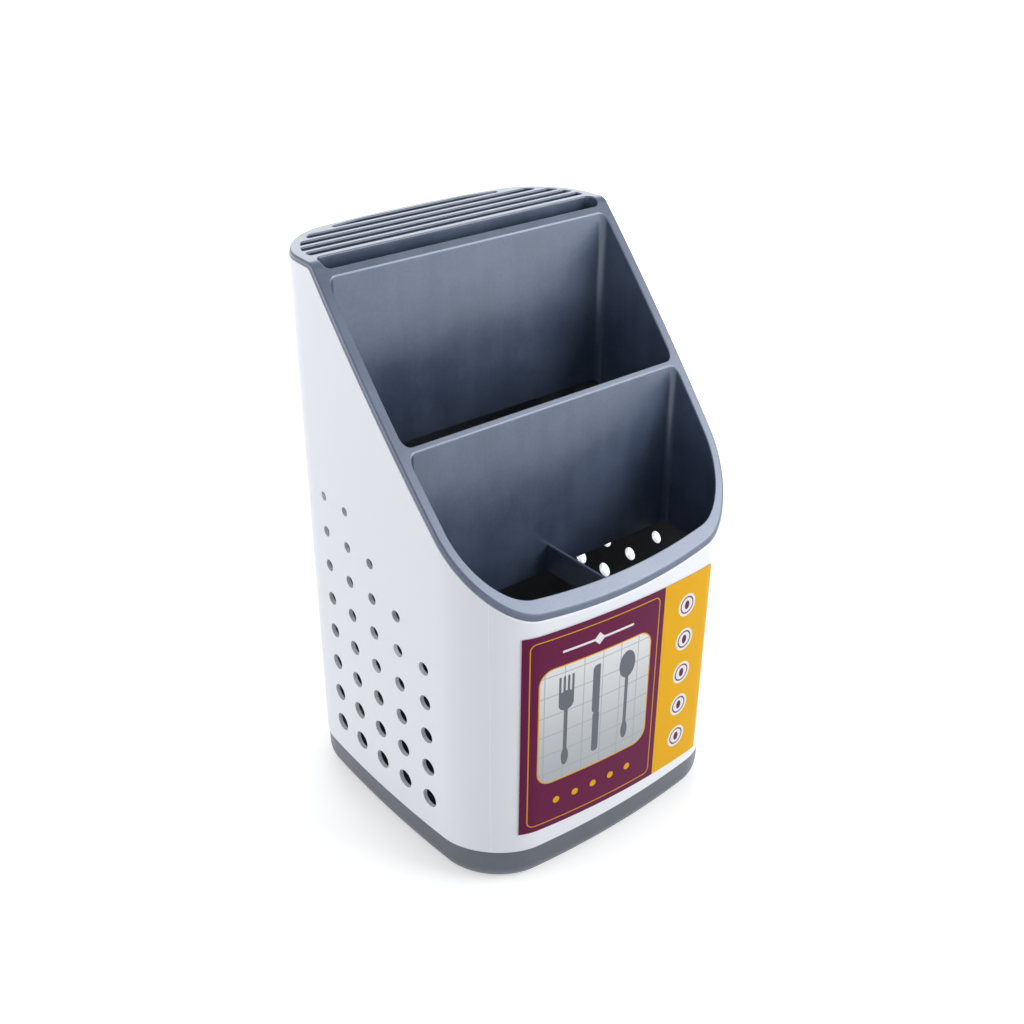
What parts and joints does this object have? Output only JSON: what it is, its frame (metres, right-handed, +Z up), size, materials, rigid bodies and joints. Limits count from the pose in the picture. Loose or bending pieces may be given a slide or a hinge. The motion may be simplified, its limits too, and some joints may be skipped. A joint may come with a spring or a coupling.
{
  "type": "countertop cutlery holder",
  "caption": "Free-standing cutlery and knife holder: perforated tapered sleeve on a drip tray, with a lift-out insert of open compartments and a knife grille.",
  "frame": {"origin": "on the table under the middle of the holder", "axes": "+Z up, the low front faces -Y, +X is to the right when it is seen from the front"},
  "size_m": [0.1568, 0.1558, 0.26],
  "materials": {
    "tray_plastic": "satin moulded plastic, dark grey",
    "white_plastic": "smooth moulded plastic, white",
    "slate_plastic": "satin moulded plastic, slate grey",
    "label_film": "printed self-adhesive film"
  },
  "bodies": {
    "tray_body": {"drip_tray": "tray_plastic"},
    "sleeve_body": {"sleeve": "white_plastic", "front_label": "label_film"},
    "insert_body": {"insert": "slate_plastic"}
  },
  "joints": [
    {"name": "sleeve_lift", "type": "slide", "parent": "tray_body", "child": "sleeve_body", "axis": [0, 0, 1], "range_m": [0, 0.03]},
    {"name": "insert_lift", "type": "slide", "parent": "sleeve_body", "child": "insert_body", "axis": [0, 0, 1], "range_m": [0, 0.15]}
  ]
}
